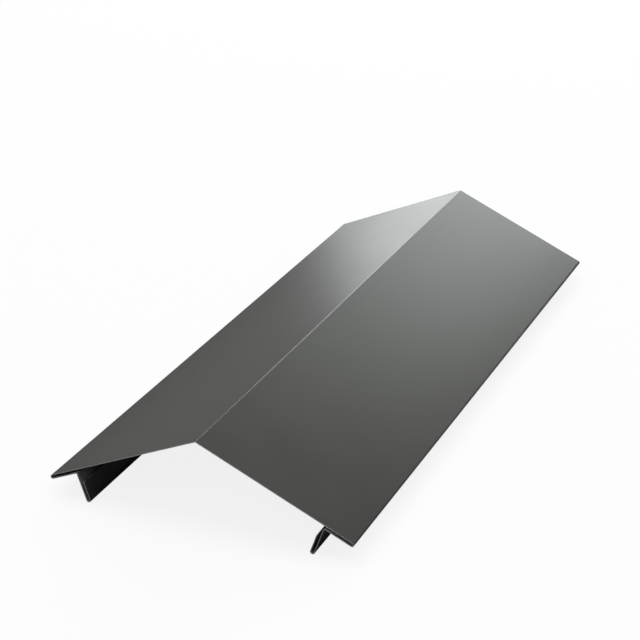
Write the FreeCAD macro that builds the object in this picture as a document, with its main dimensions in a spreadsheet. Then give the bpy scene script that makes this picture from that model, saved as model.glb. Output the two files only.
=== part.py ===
import FreeCAD, Part
import math
import os
from collections import namedtuple
from enum import IntEnum

import Sketcher

# A roof ridge cap folded from one piece of sheet metal, in millimetres and degrees.
# X runs across the ridge, Y along it and Z up. The origin is midway along the cap,
# under the ridge, at the level of the two hemmed feet that it stands on.

# Driving dimensions, each kept in one cell of the sheet under its name.
DIMENSIONS = {
    "cap_length": 625.0,       # along the ridge
    "wing_width": 150.0,       # down the slope, from the ridge corner to the outer fold
    "ridge_pitch": 24.0,       # fall of each wing below level, degrees
    "sheet_thickness": 0.7,    # coated sheet
    "bend_radius": 0.7,        # inside radius of the ridge bend and of the leg bends
    "fold_gap": 2.4,           # clear gap inside each doubled edge
    "foot_gap": 2.7,           # clear gap inside each hemmed foot
    "return_width": 26.7,      # from the outer fold, back under the wing, to the leg's outer face
    "leg_lean": 5.0,           # how far each leg leans outward of square to its wing, degrees
    "leg_height": 27.0,        # from the return's underside to the bottom of the foot
    "hem_height": 18.5,        # from the bottom of the foot up to the hem's cut edge
}

# Radii and flat lengths, worked out from the cells.
BEND_INSIDE = "Dimensions.bend_radius"
BEND_OUTSIDE = "Dimensions.bend_radius + Dimensions.sheet_thickness"
FOLD_INSIDE = "Dimensions.fold_gap / 2"
FOLD_OUTSIDE = "Dimensions.fold_gap / 2 + Dimensions.sheet_thickness"
FOOT_INSIDE = "Dimensions.foot_gap / 2"
FOOT_OUTSIDE = "Dimensions.foot_gap / 2 + Dimensions.sheet_thickness"
LEG_TURN = "90 + Dimensions.leg_lean"
RIDGE_SETBACK = f"({BEND_OUTSIDE}) * tan(Dimensions.ridge_pitch / 2)"
LEG_SETBACK = f"({BEND_INSIDE}) * tan(({LEG_TURN}) / 2)"
WING_FLAT = f"Dimensions.wing_width - ({FOLD_OUTSIDE}) - {RIDGE_SETBACK}"
RETURN_FLAT = f"Dimensions.return_width - ({FOLD_OUTSIDE}) - {LEG_SETBACK}"
LEG_FLAT = f"Dimensions.leg_height - ({FOOT_OUTSIDE}) - {LEG_SETBACK}"
HEM_FLAT = f"Dimensions.hem_height - ({FOOT_OUTSIDE})"

# The half section as the sheet runs from the ridge to the hem: each bend, then the flat after it.
# A negative turn is to the right, towards the sheet's inner face.
Bend = namedtuple("Bend", "name turn inside outside flat flat_length")
STRIP = (
    Bend("ridge_bend", "-Dimensions.ridge_pitch", BEND_INSIDE, BEND_OUTSIDE, "wing", WING_FLAT),
    Bend("outer_fold", "-180", FOLD_INSIDE, FOLD_OUTSIDE, "return", RETURN_FLAT),
    Bend("leg_bend", LEG_TURN, BEND_INSIDE, BEND_OUTSIDE, "leg", LEG_FLAT),
    Bend("foot_fold", "-180", FOOT_INSIDE, FOOT_OUTSIDE, "hem", HEM_FLAT),
)


class Place(IntEnum):
    """The numbers that a sketch gives to a curve's ends and centre."""

    START = 1
    END = 2
    CENTRE = 3


class Axis(IntEnum):
    """The numbers that a sketch gives to its own axes."""

    H = -1
    V = -2


def make_sheet(doc):
    """The sheet of driving dimensions, one row each, with the name and the value."""
    sheet = doc.addObject("Spreadsheet::Sheet", "Dimensions")
    for row, (alias, value) in enumerate(DIMENSIONS.items(), start=1):
        sheet.set(f"A{row}", alias)
        sheet.set(f"B{row}", str(value))
        sheet.setAlias(f"B{row}", alias)
    doc.recompute()
    return sheet


def origin_plane(body, role):
    """The body's own origin plane with that role."""
    for feature in body.Origin.OriginFeatures:
        if feature.Role == role:
            return feature
    raise ValueError(f"no origin plane {role}")


def unit(degrees):
    """A unit vector of the sketch, at an angle to its horizontal axis."""
    angle = math.radians(degrees)
    return FreeCAD.Vector(math.cos(angle), math.sin(angle), 0)


def arc_curve(centre, radius, first, turn):
    """The arc that leaves angle first and turns by turn, in degrees."""
    low, high = sorted((math.radians(first), math.radians(first + turn)))
    circle = Part.Circle(centre, FreeCAD.Vector(0, 0, 1), radius)
    return Part.ArcOfCircle(circle, low, high)


def strip_curves(value):
    """The curves of the sheet's outer face and of its inner face, from the ridge to the hem.

    Each list holds a bend's arc and then the flat after it, for every bend of the strip.
    """
    thickness = value("Dimensions.sheet_thickness")
    outer = []
    inner = []
    point = FreeCAD.Vector(0, 0, 0)
    heading = 0.0
    for bend in STRIP:
        turn = value(bend.turn)
        side = math.copysign(1, turn)
        radii = [value(bend.inside), value(bend.outside)]
        if turn < 0:
            radii.reverse()
        centre = point + unit(heading + 90 * side) * radii[0]
        first = heading - 90 * side
        outer.append(arc_curve(centre, radii[0], first, turn))
        inner.append(arc_curve(centre, radii[1], first, turn))
        point = centre + unit(first + turn) * radii[0]
        heading += turn
        far = point + unit(heading) * value(bend.flat_length)
        across = unit(heading - 90) * thickness
        outer.append(Part.LineSegment(point, far))
        inner.append(Part.LineSegment(point + across, far + across))
        point = far
    rise = value(FOOT_OUTSIDE) - centre.y
    for curve in outer + inner:
        curve.translate(FreeCAD.Vector(0, rise, 0))
    return outer, inner


def tie(sketch, kind, *target):
    """Adds one constraint to the sketch and gives its number there."""
    return sketch.addConstraint(Sketcher.Constraint(kind, *target))


def arc_ends(bend, value):
    """Which ends of a bend's arcs come first and last along the strip."""
    if value(bend.turn) < 0:
        return Place.END, Place.START
    return Place.START, Place.END


def join_face(sketch, face, value):
    """Joins one face's arcs and flats end to end, each tangent to the next."""
    for index, bend in enumerate(STRIP):
        first, last = arc_ends(bend, value)
        arc, flat = face[2 * index], face[2 * index + 1]
        if index > 0:
            tie(sketch, "Tangent", face[2 * index - 1], Place.END, arc, first)
        tie(sketch, "Tangent", arc, last, flat, Place.START)


def close_ends(sketch, outer, inner, value):
    """Closes the section with the joint under the ridge and the hem's cut edge."""

    def close(outer_curve, inner_curve, end):
        edge_ends = [sketch.getPoint(curve, end) for curve in (outer_curve, inner_curve)]
        edge = sketch.addGeometry(Part.LineSegment(*edge_ends), False)
        tie(sketch, "Coincident", edge, Place.START, outer_curve, end)
        tie(sketch, "Coincident", edge, Place.END, inner_curve, end)
        return edge

    ridge_end = arc_ends(STRIP[0], value)[0]
    close(outer[0], inner[0], ridge_end)
    for curve, place in ((outer[0], Place.CENTRE), (outer[0], ridge_end), (inner[0], ridge_end)):
        tie(sketch, "PointOnObject", curve, place, Axis.V)
    cut_edge = close(outer[-1], inner[-1], Place.END)
    tie(sketch, "Perpendicular", cut_edge, outer[-1])
    tie(sketch, "Parallel", inner[-1], outer[-1])


def size_section(sketch, outer, inner, value):
    """Gives the section its radii, lengths and angles, each tied to the sheet."""

    def drive(name, expression, kind, *target):
        amount = value(expression)
        if kind == "Angle":
            amount = math.radians(amount)
        sketch.renameConstraint(tie(sketch, kind, *target, amount), name)
        sketch.setExpression(f"Constraints.{name}", expression)

    for index, bend in enumerate(STRIP):
        arcs = [outer[2 * index], inner[2 * index]]
        flat = outer[2 * index + 1]
        tie(sketch, "Coincident", arcs[0], Place.CENTRE, arcs[1], Place.CENTRE)
        if value(bend.turn) < 0:
            arcs.reverse()
        drive(f"{bend.name}_inside", bend.inside, "Radius", arcs[0])
        drive(f"{bend.name}_outside", bend.outside, "Radius", arcs[1])
        drive(f"{bend.flat}_flat", bend.flat_length, "Distance", flat)

    wing, back, leg, hem = outer[1::2]
    foot = outer[-2]
    drive("wing_pitch", "Dimensions.ridge_pitch", "Angle", wing, Place.START, Axis.H, Place.START)
    drive("leg_angle", "90 - Dimensions.leg_lean", "Angle", leg, Place.START, wing, Place.START)
    drive("foot_level", FOOT_OUTSIDE, "DistanceY", Axis.H, Place.START, foot, Place.CENTRE)
    tie(sketch, "Parallel", back, wing)
    tie(sketch, "Parallel", hem, leg)


def make_ridge_cap(doc, sheet):
    """The cap: half the folded section, drawn out along the ridge and mirrored across it."""
    body = doc.addObject("PartDesign::Body", "RidgeCap")
    body.Label = "ridge_cap"

    def value(expression):
        return float(sheet.evalExpression(expression))

    section = body.newObject("Sketcher::SketchObject", "HalfSection")
    section.AttachmentSupport = [(origin_plane(body, "XZ_Plane"), "")]
    section.MapMode = "FlatFace"
    outer_curves, inner_curves = strip_curves(value)
    outer = section.addGeometry(outer_curves, False)
    inner = section.addGeometry(inner_curves, False)
    join_face(section, outer, value)
    join_face(section, inner, value)
    close_ends(section, outer, inner, value)
    size_section(section, outer, inner, value)
    doc.recompute()
    if not section.FullyConstrained:
        raise RuntimeError("the section still has free sizes")

    half = body.newObject("PartDesign::Pad", "HalfCap")
    half.Profile = section
    half.SideType = "Symmetric"
    half.setExpression("Length", "Dimensions.cap_length")
    doc.recompute()

    whole = body.newObject("PartDesign::Mirrored", "WholeCap")
    whole.Originals = [half]
    whole.MirrorPlane = (origin_plane(body, "YZ_Plane"), [""])
    body.Tip = whole
    doc.recompute()
    return body


def check(doc, sub_parts):
    """Stops if any object failed or a sub-part isn't one sound solid."""
    for item in doc.Objects:
        if "Invalid" in item.State or "Error" in item.State:
            raise RuntimeError(f"{item.Name} failed: {item.State}")
    for item in sub_parts:
        shape = item.Shape
        if shape.isNull() or not shape.isValid() or len(shape.Solids) != 1:
            raise RuntimeError(f"{item.Label} isn't one sound solid")


def main():
    doc = FreeCAD.newDocument("ridge_cap")
    sheet = make_sheet(doc)
    sub_parts = [make_ridge_cap(doc, sheet)]
    check(doc, sub_parts)
    os.makedirs("parts", exist_ok=True)
    for item in sub_parts:
        item.Shape.exportStep(f"parts/{item.Label}.step")


main()
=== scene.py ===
import math
from collections import namedtuple

import bmesh
import bpy
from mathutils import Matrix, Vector


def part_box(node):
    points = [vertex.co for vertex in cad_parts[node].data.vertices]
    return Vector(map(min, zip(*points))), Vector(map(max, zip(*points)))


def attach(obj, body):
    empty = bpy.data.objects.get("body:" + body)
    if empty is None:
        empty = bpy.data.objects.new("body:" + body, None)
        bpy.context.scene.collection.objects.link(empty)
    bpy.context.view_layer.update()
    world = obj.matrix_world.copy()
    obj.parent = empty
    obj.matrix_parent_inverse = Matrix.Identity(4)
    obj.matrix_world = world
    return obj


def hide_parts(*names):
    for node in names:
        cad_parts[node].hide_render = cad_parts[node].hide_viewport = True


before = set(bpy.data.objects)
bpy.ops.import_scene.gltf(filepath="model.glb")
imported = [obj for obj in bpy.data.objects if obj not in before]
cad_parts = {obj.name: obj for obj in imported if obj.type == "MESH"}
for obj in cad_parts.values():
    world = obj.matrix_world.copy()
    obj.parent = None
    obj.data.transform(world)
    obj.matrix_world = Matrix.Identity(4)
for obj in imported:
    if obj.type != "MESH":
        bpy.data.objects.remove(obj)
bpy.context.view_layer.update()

# Lengths are in metres, apart from the camera's lens, and angles in degrees.

# The cap's own sizes come from the frame. These are for the mesh that is drawn over them.
WELD = 1e-6              # points closer than this are one point
SHARP_TURN = 60.0        # the section has a corner where it turns by more than this
EDGE_BREAK = 0.00008     # how much is taken off each sharp corner
STATION_STEP = 0.025     # about how far one section is from the next, along the ridge
FLAT_WEIGHT = 100        # how far the large flats settle the normals at their edges

# The order of the sheet's material slots.
COAT, BACKING, CUT = range(3)

# The two ends that each surface's noise runs between.
COAT_COLOURS = (0.0362, 0.0357, 0.0318), (0.0430, 0.0424, 0.0380)
COAT_ROUGHNESS = 0.277, 0.295
BACKING_COLOURS = (0.24, 0.24, 0.24), (0.30, 0.30, 0.30)
BACKING_ROUGHNESS = 0.50, 0.58
CUT_COLOURS = (0.45, 0.45, 0.46), (0.57, 0.57, 0.58)
CUT_ROUGHNESS = 0.45, 0.60

# How fine each surface's noise is, in cycles to a metre.
CLOUD_SCALE = 18
PEEL_SCALE = 700
BACKING_SCALE = 30
STREAK_SCALE = 900

# The streaks of the cut edges are drawn out along the ridge.
STREAK_STRETCH = (1, 0.2, 1)

# Nearly all of a noise's values lie between these.
NOISE_LOW = 0.3
NOISE_HIGH = 0.7

# The depth of the coat's peel, the coat's index of refraction, and how metallic the cut edges are.
PEEL_DEPTH = 0.000004
COAT_IOR = 1.45
CUT_METALLIC = 0.3

# The camera stands where the picture's perspective puts it, with a lens in millimetres.
CAMERA_PLACE = (0.5952, -1.4276, 0.7548)
CAMERA_AZIMUTH = 23.606
CAMERA_ELEVATION = 24.362
CAMERA_LENS = 101.58

# The floor's width, its own grey, and the share of white that it shows without any lamp.
FLOOR_SIZE = 60.0
FLOOR_GREY = 0.12
FLOOR_LIFT = 0.857

# Mirrored from this far away, the floor has half of its lift, and less from closer by.
LIFT_HALF = 0.85

# How bright the surroundings are to the object.
WORLD_LEVEL = 0.06

# The soft lights all stand this far from the object. Those behind it are a little cooler than the rest.
LIGHT_DISTANCE = 4.0
PLAIN = (1.0, 1.0, 1.0)
COOL = (0.95, 1.0, 0.985)

# The azimuth is from +Y towards +X, and a light of brightness 1 is as bright to look at as white.
SoftBox = namedtuple("SoftBox", "name azimuth elevation width height brightness colour")
SOFT_BOXES = (
    SoftBox("overhead", 0, 89, 7.0, 4.0, 1.8, PLAIN),
    SoftBox("left", -90, 42, 2.0, 2.0, 1.2, PLAIN),
    SoftBox("right", 90, 42, 2.0, 2.0, 1.2, PLAIN),
    SoftBox("front", 180, 38, 1.8, 1.6, 2.5, PLAIN),
    SoftBox("low_left", -28.25, 5.8, 0.59, 0.76, 3.95, COOL),
    SoftBox("behind", 0.55, 21.6, 1.05, 1.32, 4.25, COOL),
    SoftBox("ridge_light", -15, 28, 0.65, 1.8, 13.0, COOL),
    SoftBox("fold_light", 28, 17, 0.8, 1.1, 2.6, COOL),
)


def section_outline(node):
    """The (x, z) points of the cap's section, in order, from the ridge down its right side."""
    mesh = bmesh.new()
    mesh.from_mesh(node.data)
    bmesh.ops.remove_doubles(mesh, verts=mesh.verts, dist=WELD)
    near = min(vert.co.y for vert in mesh.verts)

    def at_end(item):
        return all(vert.co.y < near + WELD for vert in item.verts)

    neighbours = {}
    for edge in mesh.edges:
        if at_end(edge) and not all(at_end(face) for face in edge.link_faces):
            first, second = edge.verts
            neighbours.setdefault(first, []).append(second)
            neighbours.setdefault(second, []).append(first)

    ridge = max(neighbours, key=lambda vert: vert.co.z)
    outline = [ridge, max(neighbours[ridge], key=lambda vert: vert.co.x)]
    while True:
        onward = [vert for vert in neighbours[outline[-1]] if vert is not outline[-2]]
        if onward[0] is ridge:
            break
        outline.append(onward[0])
    points = [Vector((vert.co.x, vert.co.z)) for vert in outline]
    mesh.free()
    return points


def edge_normals(points, index):
    """The outward unit normals of the two sides that meet at one point of a clockwise outline."""
    arriving = (points[index] - points[index - 1]).normalized()
    leaving = (points[(index + 1) % len(points)] - points[index]).normalized()
    return [Vector((-side.y, side.x)) for side in (arriving, leaving)]


def is_corner(points, index):
    """Whether a closed outline turns sharply at one of its points."""
    first, second = edge_normals(points, index)
    return first.angle(second) > math.radians(SHARP_TURN)


def broken_corners(points):
    """The outline with EDGE_BREAK off each sharp corner, and the slot of the side after each point.

    Its four sharp corners part the outline into the outer face, the right hem's cut edge,
    the inner face and the left hem's cut edge. It is turned to start on that last cut edge, so
    that each point of the outer face is across the sheet from the one as far from the list's end.
    """
    slots = [COAT, CUT, BACKING, CUT, COAT]
    made = []
    sides = []
    passed = 0
    for index, here in enumerate(points):
        if not is_corner(points, index):
            made.append(here)
            sides.append(slots[passed])
            continue
        before = (points[index - 1] - here).normalized()
        after = (points[(index + 1) % len(points)] - here).normalized()
        made += [here + before * EDGE_BREAK, here + after * EDGE_BREAK]
        passed += 1
        sides += [CUT, slots[passed]]
    start = max(index for index, side in enumerate(sides) if side == CUT)
    return made[start:] + made[:start], sides[start:] + sides[:start]


def shrunk(points, depth):
    """The outline moved in by depth all round."""
    made = []
    for index, here in enumerate(points):
        first, second = edge_normals(points, index)
        made.append(here - (first + second) * (depth / (1 + first.dot(second))))
    return made


def add_faces(mesh, rings, sides):
    """Skins the rings along the sheet, and closes both of its ends across its thickness."""
    count = len(sides)
    for station, (near, far) in enumerate(zip(rings, rings[1:])):
        at_end = station in (0, len(rings) - 2)
        for index, side in enumerate(sides):
            onward = (index + 1) % count
            face = mesh.faces.new((near[onward], far[onward], far[index], near[index]))
            face.material_index = CUT if at_end else side
    for ring in (rings[0][::-1], rings[-1]):
        for index in range(count // 2 - 1):
            onward = index + 1
            face = mesh.faces.new((ring[index], ring[onward], ring[-1 - onward], ring[-1 - index]))
            face.material_index = CUT
    for face in mesh.faces:
        face.smooth = True


def make_sheet(node):
    """The folded sheet: the section drawn along the ridge, with its cut edges just off sharp."""
    outline, sides = broken_corners(section_outline(node))
    inset = shrunk(outline, EDGE_BREAK)
    low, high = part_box("ridge_cap")
    spans = round((high.y - low.y) / STATION_STEP)
    first, last = low.y + EDGE_BREAK, high.y - EDGE_BREAK
    middle = [first + (last - first) * step / spans for step in range(spans + 1)]
    stations = [(low.y, inset)] + [(y, outline) for y in middle] + [(high.y, inset)]

    mesh = bmesh.new()
    rings = [[mesh.verts.new((point.x, y, point.y)) for point in points] for y, points in stations]
    add_faces(mesh, rings, sides)
    data = bpy.data.meshes.new("folded_sheet")
    mesh.to_mesh(data)
    mesh.free()
    sheet = bpy.data.objects.new("folded_sheet", data)
    bpy.context.scene.collection.objects.link(sheet)
    normals = sheet.modifiers.new("flat_faces", "WEIGHTED_NORMAL")
    normals.weight = FLAT_WEIGHT
    normals.keep_sharp = False
    return sheet


class Nodes:
    """Short calls for building a material's nodes."""

    def __init__(self, name):
        self.material = bpy.data.materials.new(name)
        self.material.use_nodes = True
        self.tree = self.material.node_tree
        self.shader = self.tree.nodes["Principled BSDF"]

    def link(self, output, target):
        """Links one node's output to another node's input."""
        self.tree.links.new(output, target)

    def set(self, name, value):
        """Gives one of the shader's sockets a fixed value."""
        self.shader.inputs[name].default_value = value

    def drive(self, name, output):
        """Links one of the shader's sockets to another node's output."""
        self.link(output, self.shader.inputs[name])

    def noise(self, scale, detail, stretch=(1, 1, 1)):
        """Noise over the object, scale cycles to a metre."""
        place = self.tree.nodes.new("ShaderNodeTexCoord")
        mapping = self.tree.nodes.new("ShaderNodeMapping")
        mapping.inputs["Scale"].default_value = stretch
        self.link(place.outputs["Object"], mapping.inputs["Vector"])
        noise = self.tree.nodes.new("ShaderNodeTexNoise")
        noise.inputs["Scale"].default_value = scale
        noise.inputs["Detail"].default_value = detail
        self.link(mapping.outputs["Vector"], noise.inputs["Vector"])
        return noise.outputs["Fac"]

    def mixed(self, share, colours):
        """A colour between two, by a share of the second."""
        mix = self.tree.nodes.new("ShaderNodeMix")
        mix.data_type = "RGBA"
        for socket, colour in zip("AB", colours):
            mix.inputs[socket].default_value = (*colour, 1)
        self.link(share, mix.inputs["Factor"])
        return mix.outputs["Result"]

    def ranged(self, noise, ends):
        """A noise spread from the first of two ends to the second."""
        spread = self.tree.nodes.new("ShaderNodeMapRange")
        spread.inputs["From Min"].default_value = NOISE_LOW
        spread.inputs["From Max"].default_value = NOISE_HIGH
        for socket, end in zip(("To Min", "To Max"), ends):
            spread.inputs[socket].default_value = end
        self.link(noise, spread.inputs["Value"])
        return spread.outputs["Result"]

    def bump(self, height, depth):
        """Relief of a height, depth metres deep."""
        bump = self.tree.nodes.new("ShaderNodeBump")
        bump.inputs["Strength"].default_value = 1.0
        bump.inputs["Distance"].default_value = depth
        self.link(height, bump.inputs["Height"])
        return bump.outputs["Normal"]


def coat_material():
    """Satin dark grey coil coating, with the faint peel and clouding of a rolled finish."""
    nodes = Nodes("coat")
    cloud = nodes.noise(CLOUD_SCALE, detail=3)
    peel = nodes.noise(PEEL_SCALE, detail=2)
    nodes.drive("Base Color", nodes.mixed(cloud, COAT_COLOURS))
    nodes.drive("Roughness", nodes.ranged(cloud, COAT_ROUGHNESS))
    nodes.drive("Normal", nodes.bump(peel, PEEL_DEPTH))
    nodes.set("IOR", COAT_IOR)
    return nodes.material


def backing_material():
    """The thin grey backing coat on the sheet's inner face."""
    nodes = Nodes("backing")
    cloud = nodes.noise(BACKING_SCALE, detail=3)
    nodes.drive("Base Color", nodes.mixed(cloud, BACKING_COLOURS))
    nodes.drive("Roughness", nodes.ranged(cloud, BACKING_ROUGHNESS))
    return nodes.material


def cut_material():
    """Sheared steel and dulled zinc, bare at the cut edges."""
    nodes = Nodes("cut_edge")
    streak = nodes.noise(STREAK_SCALE, detail=2, stretch=STREAK_STRETCH)
    nodes.drive("Base Color", nodes.mixed(streak, CUT_COLOURS))
    nodes.drive("Roughness", nodes.ranged(streak, CUT_ROUGHNESS))
    nodes.set("Metallic", CUT_METALLIC)
    return nodes.material


def joined(tree, operation, first, second):
    """One Math node of an output and of a second output or a number."""
    node = tree.nodes.new("ShaderNodeMath")
    node.operation = operation
    tree.links.new(first, node.inputs[0])
    if isinstance(second, bpy.types.NodeSocket):
        tree.links.new(second, node.inputs[1])
    else:
        node.inputs[1].default_value = second
    return node.outputs["Value"]


def looked_at(tree, path):
    """1 for the rays of the camera, also through glass, and 0 for all others."""
    return joined(tree, "MAXIMUM", path.outputs["Is Camera Ray"], path.outputs["Is Transmission Ray"])


def floor_material():
    """Plain white, as a matt grey that is lifted towards white by a share that no lamp gives.

    The lift shows where the floor is looked at or mirrored, so the object's shadow on it stays
    soft and pale. Mirrored from close by, the floor keeps most of its shadow.
    """
    nodes = Nodes("floor")
    nodes.set("Base Color", (FLOOR_GREY, FLOOR_GREY, FLOOR_GREY, 1))
    nodes.set("Roughness", 1.0)
    nodes.set("Specular IOR Level", 0.0)
    nodes.set("Emission Color", (FLOOR_LIFT, FLOOR_LIFT, FLOOR_LIFT, 1))

    tree = nodes.tree
    path = tree.nodes.new("ShaderNodeLightPath")
    length = path.outputs["Ray Length"]
    share = joined(tree, "DIVIDE", length, joined(tree, "ADD", length, LIFT_HALF))
    mirrored = joined(tree, "MULTIPLY", path.outputs["Is Glossy Ray"], share)
    nodes.drive("Emission Strength", joined(tree, "MAXIMUM", looked_at(tree, path), mirrored))
    return nodes.material


def make_floor():
    """The floor that the object stands on, wide enough to fill the picture."""
    bpy.ops.mesh.primitive_plane_add(size=FLOOR_SIZE)
    floor = bpy.context.object
    floor.name = "floor"
    floor.data.materials.append(floor_material())


def make_world():
    """Dim surroundings, which beyond the floor's edge look as pale as the floor does there."""
    world = bpy.data.worlds.new("studio")
    world.use_nodes = True
    tree = world.node_tree
    background = tree.nodes["Background"]
    background.inputs["Color"].default_value = (1, 1, 1, 1)
    path = tree.nodes.new("ShaderNodeLightPath")
    level = tree.nodes.new("ShaderNodeMapRange")
    level.inputs["To Min"].default_value = WORLD_LEVEL
    level.inputs["To Max"].default_value = FLOOR_LIFT
    tree.links.new(looked_at(tree, path), level.inputs["Value"])
    tree.links.new(level.outputs["Result"], background.inputs["Strength"])
    bpy.context.scene.world = world


def make_soft_box(box):
    """A rectangular soft light that faces the object."""
    data = bpy.data.lights.new(box.name, "AREA")
    data.shape = "RECTANGLE"
    data.size = box.width
    data.size_y = box.height
    data.energy = math.pi * box.width * box.height * box.brightness
    data.color = box.colour
    light = bpy.data.objects.new(box.name, data)
    bpy.context.scene.collection.objects.link(light)
    turn, rise = math.radians(box.azimuth), math.radians(box.elevation)
    level = math.cos(rise)
    toward = Vector((math.sin(turn) * level, math.cos(turn) * level, math.sin(rise)))
    light.location = toward * LIGHT_DISTANCE
    light.rotation_euler = (-toward).to_track_quat("-Z", "Y").to_euler()


def make_camera():
    """The camera that takes the picture's view."""
    data = bpy.data.cameras.new("camera")
    data.lens = CAMERA_LENS
    camera = bpy.data.objects.new("camera", data)
    bpy.context.scene.collection.objects.link(camera)
    camera.location = CAMERA_PLACE
    camera.rotation_euler = (math.radians(90 - CAMERA_ELEVATION), 0, math.radians(CAMERA_AZIMUTH))
    bpy.context.scene.camera = camera


sheet = make_sheet(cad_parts["ridge_cap"])
for material in (coat_material(), backing_material(), cut_material()):
    sheet.data.materials.append(material)
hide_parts("ridge_cap")
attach(sheet, "root")

make_floor()
make_world()
for box in SOFT_BOXES:
    make_soft_box(box)
make_camera()
bpy.context.scene.view_settings.view_transform = "Standard"
